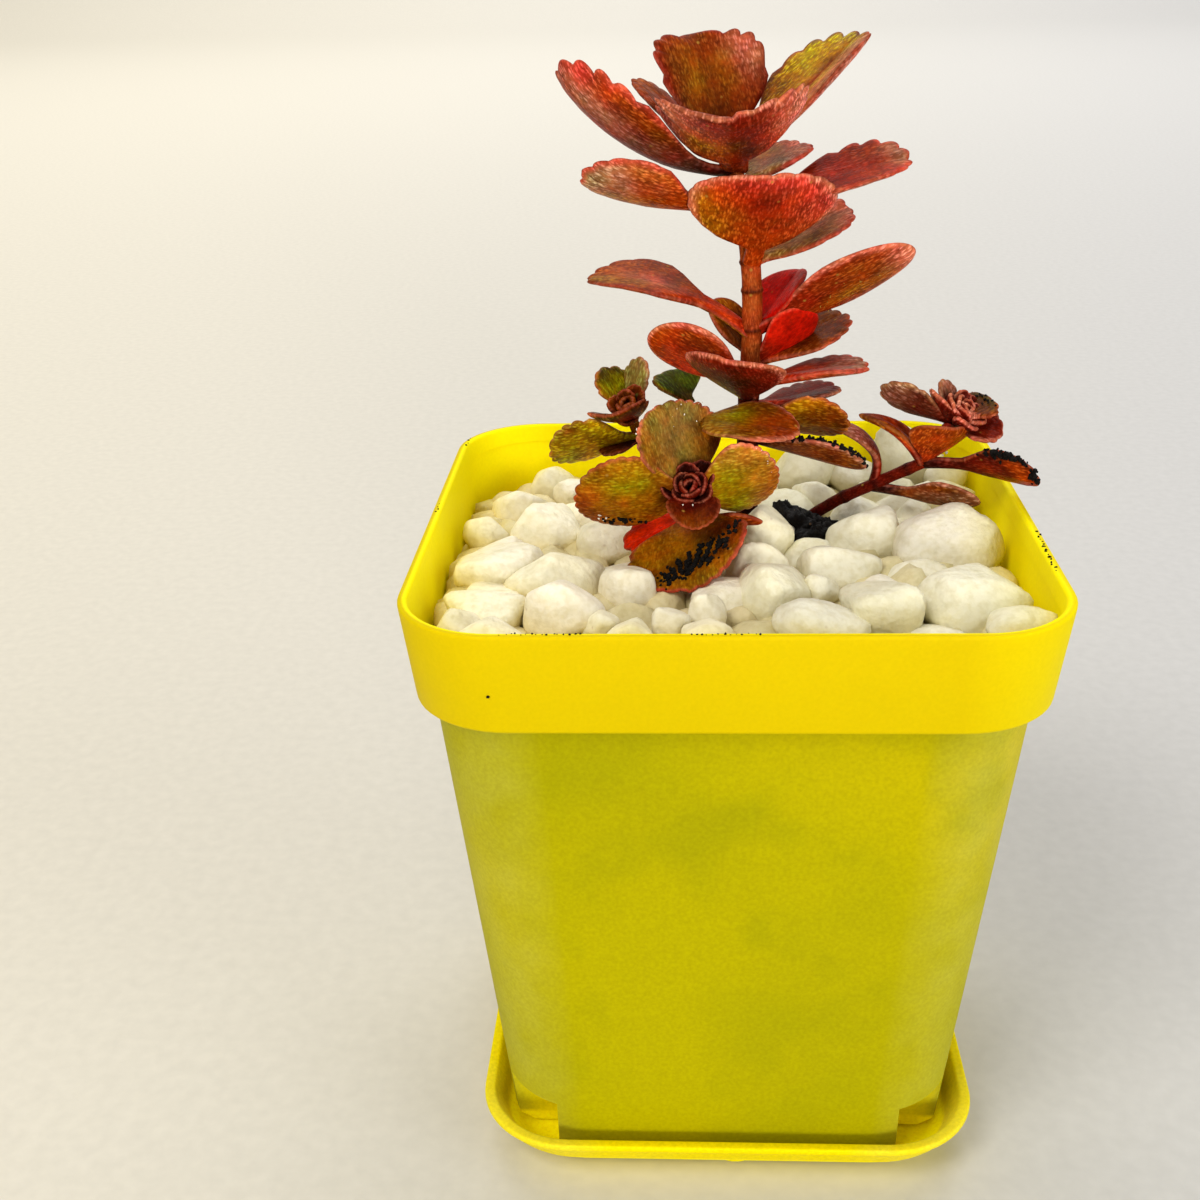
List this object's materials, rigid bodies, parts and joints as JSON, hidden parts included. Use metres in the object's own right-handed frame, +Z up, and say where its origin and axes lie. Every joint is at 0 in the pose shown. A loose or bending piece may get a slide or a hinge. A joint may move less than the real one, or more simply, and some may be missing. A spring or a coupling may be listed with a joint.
{
  "type": "potted stonecrop on a saucer",
  "caption": "Leafy red and olive stonecrop with scalloped leaves, growing through white pebbles in a tapered square plastic pot on a shallow saucer.",
  "frame": {"origin": "on the saucer's underside, below the middle of the pot", "axes": "+Z up; the front, which the short rosette faces, is -Y, and +X is to its right"},
  "size_m": [0.0768, 0.075, 0.1375],
  "materials": {
    "yellow_plastic": "matte lemon yellow, slightly translucent",
    "pebble": "smooth tumbled, cream white",
    "soil": "near-black moist peat",
    "red_leaf": "waxy red-brown with pink margins",
    "olive_leaf": "waxy olive with orange-brown margins"
  },
  "bodies": {
    "root": {"saucer": "yellow_plastic", "pot": "yellow_plastic", "soil": "soil", "pebbles": "pebble", "main_shoot": "red_leaf", "front_shoot": "olive_leaf", "left_shoot": "olive_leaf", "right_shoot": "red_leaf"}
  },
  "joints": []
}
